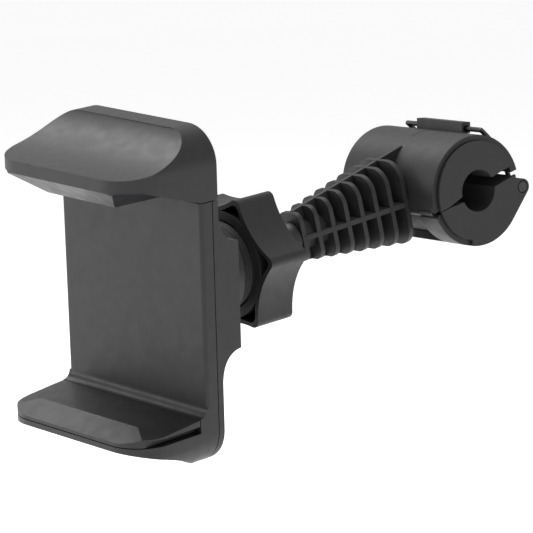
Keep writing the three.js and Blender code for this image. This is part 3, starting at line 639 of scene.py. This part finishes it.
def latch_lever():
    """The bar with its toe, the curved tongue behind it and the hole for the wire."""
    half = LEVER["half"]
    bar = block((-half, LEVER["front"], LEVER["bottom"]), (half, LEVER["back"], LEVER["top"]))
    toe = block((-half, LEVER["front"], LEVER["toe"]), (half, LEVER["front"] + 1.4, LEVER["bottom"] + 0.4))
    tongue = prism(sector(17.7, 19.1, 24, 76), "X", -LEVER["tongue"], LEVER["tongue"])
    return cut(joined(bar, toe, tongue), rod(wire_radius() + GAP, "X", -20, 20, (BAR.y, BAR.z), 32))


# ---- the arm ----------------------------------------------------------------------------------------

def rib(index):
    """One rib: an upright rectangle with round corners."""
    wide = ARM["wide"] + index * ARM["widen"]
    high = ARM["high"] + index * ARM["heighten"]
    at = -ARM["first"] + index * ARM["pitch"]
    half = sizes().rib_thickness / MM / 2
    return rounded_block((-wide, at - half, ARM["rise"] - high), (wide, at + half, ARM["rise"] + high), "Y",
                         TOP_CORNERS | BOTTOM_CORNERS, ARM["round"] * wide)


def ribbed_arm():
    """The ribs, an upright web, a level web and a round core, cut where the jaw swings."""
    nose = -ARM["first"] - sizes().rib_thickness / MM / 2
    last, root = 36 - ARM["first"], -8.4
    web = sizes().web_thickness / MM / 2

    def grown(y, start, growth):
        return start + (y + ARM["first"]) / ARM["pitch"] * growth

    rise, high = ARM["rise"], ARM["high"]
    under = rise - grown(last, high, ARM["heighten"])
    over = rise + grown(root, high, ARM["heighten"])
    upright = [(nose, rise - high), (last, under), (last, 0), (root, 0), (root, over), (nose, rise + high)]
    wide = grown(last, ARM["wide"], ARM["widen"])
    level = [(-ARM["wide"], nose), (ARM["wide"], nose), (wide, last), (wide, -12), (-wide, -12),
             (-wide, last)]
    core = turned([(0, nose), (4.6, nose), (4.6, -44), (3.2, -42), (4.4, -12), (0, -12)])
    arm = joined(core, prism(upright, "X", -web, web), prism(level, "Z", -web, web),
                 *[rib(i) for i in range(ARM["ribs"])])
    arm = cut(arm, rod(STUD["pin"] + GAP, "Y", nose - 1, nose + STUD["pin_length"] + GAP, count=40))
    turned_about_x(arm, math.degrees(ARM_TILT))
    swept_by_jaw = met(split_block(-60, 60, -60, -0.4), rod(SHELL["outer"] + GAP, "X", -35, 35))
    return cut(arm, rod(SHELL["outer"] - 0.6, "X", -30, 30), swept_by_jaw)


def ball_stud():
    """The ball, its neck and the pin that sits in the arm's nose."""
    radius, neck, pin = STUD["radius"], STUD["neck"], STUD["pin"]
    shoulder = BALL.length / MM - ARM["first"] - sizes().rib_thickness / MM / 2 - GAP
    end = shoulder + STUD["pin_length"]
    start = math.degrees(math.asin(neck / radius))
    throat = bow((neck, 11.0), (neck - 0.5, 15.5), (STUD["shoulder"], shoulder - 1.2), 10)
    profile = sphere_profile(radius, 180, start, 40) + throat + [
        (STUD["shoulder"], shoulder), (pin, shoulder), (pin, end), (0, end)]
    profile[0] = (0, -radius)
    return turned(profile)


# ---- the ball joint ---------------------------------------------------------------------------------

def nut_outline(scale):
    """Six round corners joined by hollow sides."""
    def polar(radius, degrees):
        angle = math.radians(degrees)
        return radius * math.cos(angle), radius * math.sin(angle)

    points = []
    step = 360 / NUT["lobes"]
    rounding = NUT["round"] * scale
    centre = (NUT["corner"] - NUT["round"]) * scale
    for i in range(NUT["lobes"]):
        at = NUT["phase"] + i * step
        follow = at + step
        across, up = polar(centre, follow)
        aside, above = polar(rounding, follow - 45)
        corner = arc(polar(centre, at), rounding, at - 45, at + 45)
        dip = polar(NUT["hollow"] * scale, at + step / 2)
        points += corner + bow(corner[-1], dip, (across + aside, up + above), 12)[1:-1]
    return points


def ball_nut():
    """The lobed nut: its skirt is hollow around an inner sleeve, and its mouth lets the neck out."""
    front, back, sleeve = NUT["front"], NUT["back"], NUT["sleeve"]
    floor = back - NUT["wall"]
    blank = prism(nut_outline(1.0), "Y", front, back)
    pockets = cut(prism(nut_outline(NUT["skirt"]), "Y", front - 1, floor), rod(sleeve, "Y", front - 2, back))
    mouth = turned([(0, floor - 1), (NUT["mouth"], floor - 1), (NUT["mouth"], floor + 1.2),
                    (NUT["mouth"] + 1.5, back + 0.1), (0, back + 0.1)])
    return cut(blank, pockets, rod(NUT["bore"], "Y", front - 1, floor), mouth)


def socket_collar():
    """The collar behind the holder: a flange, a thread and the ball's socket."""
    foot = BODY["bulge"] + GAP - PLATE_TO_BALL
    flange, thread, socket = COLLAR["flange"], COLLAR["thread"], COLLAR["socket"]
    root = thread - 0.7
    turns = []
    y = COLLAR["step"]
    while y < COLLAR["end"] - 1.6:
        turns += [(root, y + 0.25), (thread, y + 0.8), (thread, y + 1.0)]
        y += COLLAR["thread_pitch"]
    rim = math.degrees(math.acos(COLLAR["end"] / socket))
    seat = sphere_profile(socket, rim, 180, 24)
    seat[-1] = (0, -socket)
    floor = foot + 12
    return turned([(flange, foot), (flange, COLLAR["step"]), (root, COLLAR["step"]), *turns,
                   (thread - 0.4, COLLAR["end"]), *seat, (0, floor), (COLLAR["bore"], floor),
                   (COLLAR["bore"], foot)])


# ---- the phone clamp --------------------------------------------------------------------------------

def front_view(low, high, inset=0.0):
    """The holder seen from the front, with its four round corners, between two heights."""
    half = BODY["half"] - inset
    whole = rounded_block((-half, -40, BODY["bottom"] + inset), (half, 40, BODY["top"] - inset), "Y",
                          TOP_CORNERS | BOTTOM_CORNERS, BODY["corner"] - inset)
    return met(whole, block((-60, -60, low), (60, 60, high)))


def plan(back, low, high, front=BODY["front"], radius=BODY["jaw_corner"]):
    """A piece of the holder seen from above, with its round front corners."""
    half = BODY["half"]
    return rounded_block((-half, front, low), (half, back, high), "Z", BOTTOM_CORNERS, radius)


def dish(crown, control, lip, side):
    """What is taken off a jaw's outer face, hollow from the crown, as (y, z), down to the lip's edge."""
    front = BODY["front"]
    clear = crown[1] + 20 * side
    outside = [(front - 10, lip), (front - 10, clear), (crown[0], clear)]
    return prism(bow(crown, control, (front, lip), 32) + outside, "X", -60, 60)


def screw_holes(places, radius, low, high):
    return [rod(radius, "Y", low, high, at, 32) for at in places]


def front_casing():
    """The plate with its side walls, the cove at its foot and the body of the lower jaw."""
    half, face, low = BODY["half"], BODY["jaw_bottom"], BODY["bottom"] - 1
    ledge = face - BODY["tray"] - GAP
    top = BODY["jaw_top"] - GAP
    shell = met(front_view(low, top), plan(BODY["seam"], low, top, 0, 1.2))
    jaw = met(front_view(low, ledge), plan(BODY["seam"], low, ledge))
    r = BODY["cove"]
    foot = ([(r / 2, ledge - 0.1), (-r, ledge - 0.1)] + arc((-r, face + r), r, -90, 0) + [(r / 2, face + r)])
    room = met(front_view(low, 60, BODY["wall"]), block((-half, BODY["wall"], -60), (half, 10, 60)))
    pocket = block((-half + 5, -15, ledge - 2.8), (half - 5, -1.8, ledge + 1))
    bosses = [rod(SCREW["boss"], "Y", BODY["wall"] - 0.1, BODY["seam"], at, 32) for at in CASING_SCREWS]
    hollow = dish((0.5, BODY["bottom"]), (-9, -43), -38.9, -1)
    body = cut(joined(shell, jaw, prism(foot, "X", -half, half)), room, hollow, pocket)
    return cut(joined(body, *bosses), *screw_holes(CASING_SCREWS, SCREW["hole"], BODY["wall"] + 0.5, 20))


def lower_jaw_pad():
    """The lower jaw's inner face: bevelled along its lip and sides, with a slot under each side edge."""
    half, face, flat_front = BODY["half"], BODY["jaw_bottom"], -19.3
    lip = slab_through([(0, flat_front, face), (10, flat_front, face), (0, BODY["front"], face - 3.0)], 1)
    right = slab_through([(half, -1, face), (half - 9, flat_front, face), (half, flat_front, face - 1.7)], 1)
    slot = block((half - 2.4, -60, face - BODY["tray"] - 1), (half + 5, 1, face - 2.1))
    body = plan(-BODY["cove"] - GAP, face - BODY["tray"], face)
    return cut(body, lip, *both_sides(right), *both_sides(slot))


def rear_profile(inset):
    """The rear casing's section, with the raised housing between its two hollow ramps."""
    front, back, bulge = BODY["seam"] + GAP - inset, BODY["back"] - inset, BODY["bulge"] - inset
    low, high, ramp_length = BODY["bulge_low"] + inset, BODY["bulge_high"] - inset, BODY["ramp"]
    return ([(front, -60 + inset), (back, -60 + inset)]
            + bow((back, low - ramp_length), (back + 0.6, low - 0.6), (bulge, low), 16)
            + bow((bulge, high), (back + 0.6, high + 0.6), (back, high + ramp_length), 16)
            + [(back, 60 - inset), (front, 60 - inset)])


def rear_casing():
    """The hollow rear casing, with sunk places for its screws."""
    half, back = BODY["half"], BODY["back"]
    outer = met(prism(rear_profile(0), "X", -half, half), front_view(-60, BODY["jaw_top"] - GAP))
    inner = met(prism(rear_profile(BODY["wall"]), "X", -half, half), front_view(-60, 60, BODY["wall"]))
    return cut(outer, inner, *screw_holes(CASING_SCREWS, SCREW["head"], back - SCREW["sunk"], 20),
               *screw_holes(CASING_SCREWS, SCREW["hole"], 0, 20))


def hood_underside():
    """Under the hood: a flat ridge in the middle, the lip's slope and both rising sides."""
    face = BODY["jaw_top"]
    lip = slab_through([(0, -18.6, face), (10, -18.6, face), (0, BODY["front"], face + 6.6)], -1)
    ridge = slab_through([(14.3, -18.6, face), (15.3, -2, face), (22, -17, face + 5.4)], -1)
    wing = slab_through([(0, 0, face), (10, 0, face), (0, -17, face + 5.4)], -1)
    side = met(met(ridge, wing), block((0, -60, -100), (60, 0, face + 6.8)))
    return lip, side, mirrored(side)


def upper_pad_outline(inset):
    half, back, front = 13.2 - inset, -3 - inset, inset - 17.6
    return [(half + 0.8, back), (-half - 0.8, back), (-half, front), (half, front)]


def upper_jaw():
    """The hood, with its dished top, the slider's slot, the pad's seat and two screw holes."""
    face, back = BODY["jaw_top"], BODY["back"]
    blank = met(front_view(face, 60), plan(back, face, 60))
    room = SLIDER["half"] + GAP
    slider = block((-room, SLIDER["front"] - GAP, face - 1),
                   (room, SLIDER["back"] + GAP, SLIDER["top"] + GAP))
    hollow = dish((-0.8, BODY["top"] - 0.4), (-8, 42.7), 41.4, 1)
    pad_seat = prism(upper_pad_outline(-GAP), "Z", face - 5, face + 1 + GAP)
    return cut(blank, hollow, *hood_underside(), slider, pad_seat,
               *screw_holes(JAW_SCREWS, SCREW["hole"], 0.5, 10),
               *screw_holes(JAW_SCREWS, SCREW["head"], back - SCREW["sunk"] - 0.1, 10))


def upper_jaw_pad():
    return prism(upper_pad_outline(0), "Z", BODY["jaw_top"], BODY["jaw_top"] + 1)


# ---- operators --------------------------------------------------------------------------------------

class MakeClamp(bpy.types.Operator):
    """Builds the two barrel shells and the grip pads"""
    bl_idname = "holder.clamp"
    bl_label = "Clamp"

    def execute(self, context):
        edge = context.scene.holder_sizes.moulded_edge
        piece("barrel_shell", barrel_shell(), IN_CLAMP, "root", "moulded_plastic", edge=edge)
        piece("jaw_shell", jaw_shell(), IN_CLAMP, "jaw", "moulded_plastic", ["clamp_jaw"], edge)
        piece("upper_grip", upper_pad(), IN_CLAMP, "root", "rubber", ["upper_grip_pad"], edge)
        piece("lower_grip", lower_pad(), IN_CLAMP, "jaw", "rubber", ["lower_grip_pad"], edge)
        return {"FINISHED"}


class MakeLatch(bpy.types.Operator):
    """Builds the latch wire and its lever"""
    bl_idname = "holder.latch"
    bl_label = "Latch"

    def execute(self, context):
        piece("bail_wire", bail_wire(), IN_CLAMP, "bail", "dark_steel", ["latch_bail_wire"])
        piece("lever_bar", latch_lever(), IN_CLAMP, "lever", "moulded_plastic", ["latch_lever"], 0.0004)
        return {"FINISHED"}


class MakeArm(bpy.types.Operator):
    """Builds the ribbed arm and the ball stud in its nose"""
    bl_idname = "holder.arm"
    bl_label = "Arm"

    def execute(self, context):
        edge = context.scene.holder_sizes.moulded_edge
        plastic = "moulded_plastic"
        piece("ribbed_arm", ribbed_arm(), IN_CLAMP, "root", plastic, ["clamp_body_with_arm"], edge, 2)
        along_arm = Matrix.Translation(BALL) @ Matrix.Rotation(ARM_TILT, 4, "X") @ IN_CLAMP
        piece("ball_and_neck", ball_stud(), along_arm, "root", plastic, ["ball_stud"])
        return {"FINISHED"}


class MakeBallJoint(bpy.types.Operator):
    """Builds the lobed nut and the threaded collar"""
    bl_idname = "holder.ball_joint"
    bl_label = "Ball joint"

    def execute(self, context):
        edge = context.scene.holder_sizes.nut_edge
        plastic = "moulded_plastic"
        piece("lobed_nut", ball_nut(), AT_BALL, "nut", plastic, ["ball_nut"], edge, 4)
        piece("threaded_collar", socket_collar(), AT_BALL, "holder", plastic, ["socket_collar"], 0.0003)
        return {"FINISHED"}


class MakeCasing(bpy.types.Operator):
    """Builds the phone clamp's plate, casings, jaws and jaw pads"""
    bl_idname = "holder.casing"
    bl_label = "Phone clamp"

    def execute(self, context):
        edge = context.scene.holder_sizes.casing_edge
        satin = "satin_plastic"
        piece("front_shell", front_casing(), IN_CASING, "holder", satin, ["front_casing"], edge * 0.5)
        piece("rear_shell", rear_casing(), IN_CASING, "holder", satin, ["rear_casing"], edge * 0.5)
        piece("hood", upper_jaw(), IN_CASING, "upper_jaw", satin, ["upper_jaw"], edge, 4, SHALLOW_CREASE)
        piece("lower_face", lower_jaw_pad(), IN_CASING, "holder", satin, ["lower_jaw_pad"], 0.0003, 3,
              SHALLOW_CREASE)
        piece("upper_pad", upper_jaw_pad(), IN_CASING, "upper_jaw", "rubber", ["upper_jaw_pad"], 0.0003)
        return {"FINISHED"}


class FinishFrameNodes(bpy.types.Operator):
    """Gives every node that is still shown its own finish"""
    bl_idname = "holder.frame_nodes"
    bl_label = "Pins, springs and screws"

    def execute(self, context):
        slots = {row["node"]: row["material_slot"] for row in frame["record"]["subparts"]}
        for name, node in frame["nodes"].items():
            if not node.hide_render:
                node.data.materials.clear()
                node.data.materials.append(finish_for(slots[name]))
        return {"FINISHED"}


def lamp(name, place, target, size, power):
    """A soft square lamp that faces a point."""
    data = bpy.data.lights.new(name, "AREA")
    data.size = size
    data.energy = power * bpy.context.scene.holder_view.brightness
    thing = bpy.data.objects.new(name, data)
    thing.location = place
    thing.rotation_euler = (Vector(target) - Vector(place)).to_track_quat("-Z", "Y").to_euler()
    bpy.context.scene.collection.objects.link(thing)


class MakeStage(bpy.types.Operator):
    """Sets the floor, the lamps and the camera"""
    bl_idname = "holder.stage"
    bl_label = "Stage"

    def execute(self, context):
        view = context.scene.holder_view
        bm = bmesh.new()
        bmesh.ops.create_grid(bm, x_segments=1, y_segments=1, size=30)
        bmesh.ops.translate(bm, verts=bm.verts, vec=(0, 0, cad_box[0][2] - FLOOR_DROP))
        mesh = bpy.data.meshes.new("studio_floor")
        bm.to_mesh(mesh)
        bm.free()
        floor = bpy.data.objects.new("studio_floor", mesh)
        context.scene.collection.objects.link(floor)
        material, shader, place = new_material("pale_floor")
        speckle = noise(material, place, 2.0)
        tone = context.scene.holder_colours.floor
        material.node_tree.links.new(ramp(material, speckle.outputs["Fac"], shaded(tone, 0.99), tuple(tone)),
                                     shader.inputs["Base Color"])
        shader.inputs["Roughness"].default_value = 0.9
        shader.inputs["Emission Color"].default_value = (1.0, 1.0, 1.0, 1.0)
        shader.inputs["Emission Strength"].default_value = FLOOR_GLOW
        mesh.materials.append(material)
        centre = Vector(view.look_at)
        lamp("top_softbox", centre + Vector((-0.3, -0.2, 0.9)), centre, 0.8, 11.0)
        lamp("front_softbox", centre + Vector((-0.75, -0.95, 0.15)), centre, 0.35, 2.6)
        lamp("side_softbox", centre + Vector((1.15, 0.15, 0.35)), centre, 0.4, 0.8)
        world = bpy.data.worlds.new("studio")
        world.use_nodes = True
        world.node_tree.nodes["Background"].inputs["Color"].default_value = (1.0, 1.0, 1.0, 1.0)
        world.node_tree.nodes["Background"].inputs["Strength"].default_value = WORLD_GLOW
        context.scene.world = world
        context.scene.view_settings.view_transform = "Standard"
        back = Vector((math.sin(view.azimuth) * math.cos(view.elevation),
                       -math.cos(view.azimuth) * math.cos(view.elevation), math.sin(view.elevation)))
        data = bpy.data.cameras.new("still_camera")
        data.sensor_width = 36.0
        data.lens = view.focal
        data.clip_end = 100.0
        camera = bpy.data.objects.new("still_camera", data)
        camera.location = centre + back * view.distance
        camera.rotation_euler = (math.pi / 2 - view.elevation, 0.0, view.azimuth)
        context.scene.collection.objects.link(camera)
        context.scene.camera = camera
        return {"FINISHED"}


class HolderPanel(bpy.types.Panel):
    """Sizes, colours and buttons of the phone holder"""
    bl_idname = "VIEW3D_PT_phone_holder"
    bl_label = "Phone Holder"
    bl_space_type = "VIEW_3D"
    bl_region_type = "UI"
    bl_category = "Phone Holder"

    def draw(self, context):
        for group in (context.scene.holder_sizes, context.scene.holder_colours, context.scene.holder_view):
            box = self.layout.box()
            for name in group.__annotations__:
                box.prop(group, name)
        for operator in OPERATORS:
            self.layout.operator(operator.bl_idname)


GROUPS = (HolderSizes, HolderColours, HolderView)
OPERATORS = (MakeClamp, MakeLatch, MakeArm, MakeBallJoint, MakeCasing, FinishFrameNodes, MakeStage)


def register():
    for cls in (*GROUPS, *OPERATORS, HolderPanel):
        bpy.utils.register_class(cls)
    bpy.types.Scene.holder_sizes = PointerProperty(type=HolderSizes)
    bpy.types.Scene.holder_colours = PointerProperty(type=HolderColours)
    bpy.types.Scene.holder_view = PointerProperty(type=HolderView)


def unregister():
    del bpy.types.Scene.holder_view
    del bpy.types.Scene.holder_colours
    del bpy.types.Scene.holder_sizes
    for cls in reversed((*GROUPS, *OPERATORS, HolderPanel)):
        bpy.utils.unregister_class(cls)


def main():
    register()
    bpy.ops.holder.clamp()
    bpy.ops.holder.latch()
    bpy.ops.holder.arm()
    bpy.ops.holder.ball_joint()
    bpy.ops.holder.casing()
    bpy.ops.holder.frame_nodes()
    bpy.ops.holder.stage()


if __name__ == "__main__":
    main()
